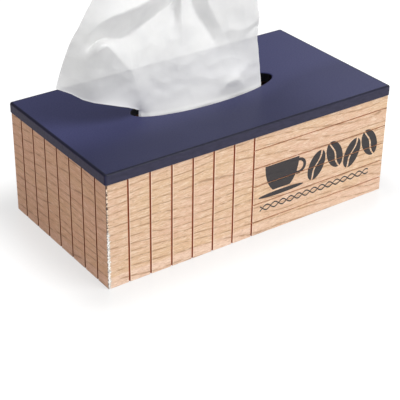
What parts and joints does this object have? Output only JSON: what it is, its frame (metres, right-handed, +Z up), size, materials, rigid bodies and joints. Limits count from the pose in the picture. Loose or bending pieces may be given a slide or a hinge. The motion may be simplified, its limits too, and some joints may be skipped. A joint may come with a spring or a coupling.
{
  "type": "tissue box with hinged lid",
  "caption": "Rectangular wooden tissue box with grooved walls and a painted lid with an oval slot, hinged at the back, a tissue standing up through the slot.",
  "frame": {"origin": "centre of the face the box rests on", "axes": "+X along the box, -Y towards the front, +Y towards the hinges, +Z up"},
  "size_m": [0.252, 0.1367, 0.209],
  "materials": {
    "fibreboard": "matte",
    "wood_veneer": "satin",
    "painted_board": "satin",
    "black_steel": "satin",
    "tissue_stack": "matte",
    "tissue_paper": "matte"
  },
  "bodies": {
    "box": {"front_wall": "fibreboard", "front_veneer": "wood_veneer", "back_wall": "fibreboard", "back_veneer": "wood_veneer", "left_wall": "fibreboard", "left_veneer": "wood_veneer", "right_wall": "fibreboard", "right_veneer": "wood_veneer", "base_panel": "fibreboard", "left_hinge_wall_leaf": "black_steel", "left_hinge_pin": "black_steel", "left_hinge_wall_screws": "black_steel", "right_hinge_wall_leaf": "black_steel", "right_hinge_pin": "black_steel", "right_hinge_wall_screws": "black_steel", "tissue_pack": "tissue_stack", "pulled_tissue": "tissue_paper"},
    "lid": {"lid_panel": "painted_board", "left_hinge_lid_leaf": "black_steel", "left_hinge_lid_screws": "black_steel", "right_hinge_lid_leaf": "black_steel", "right_hinge_lid_screws": "black_steel"}
  },
  "joints": [
    {"name": "lid_hinge", "type": "hinge", "parent": "box", "child": "lid", "pos_m": [0, 0.068, 0.082], "axis": [-1, 0, 0], "range_deg": [0, 195], "deforming": ["pulled_tissue"]}
  ]
}
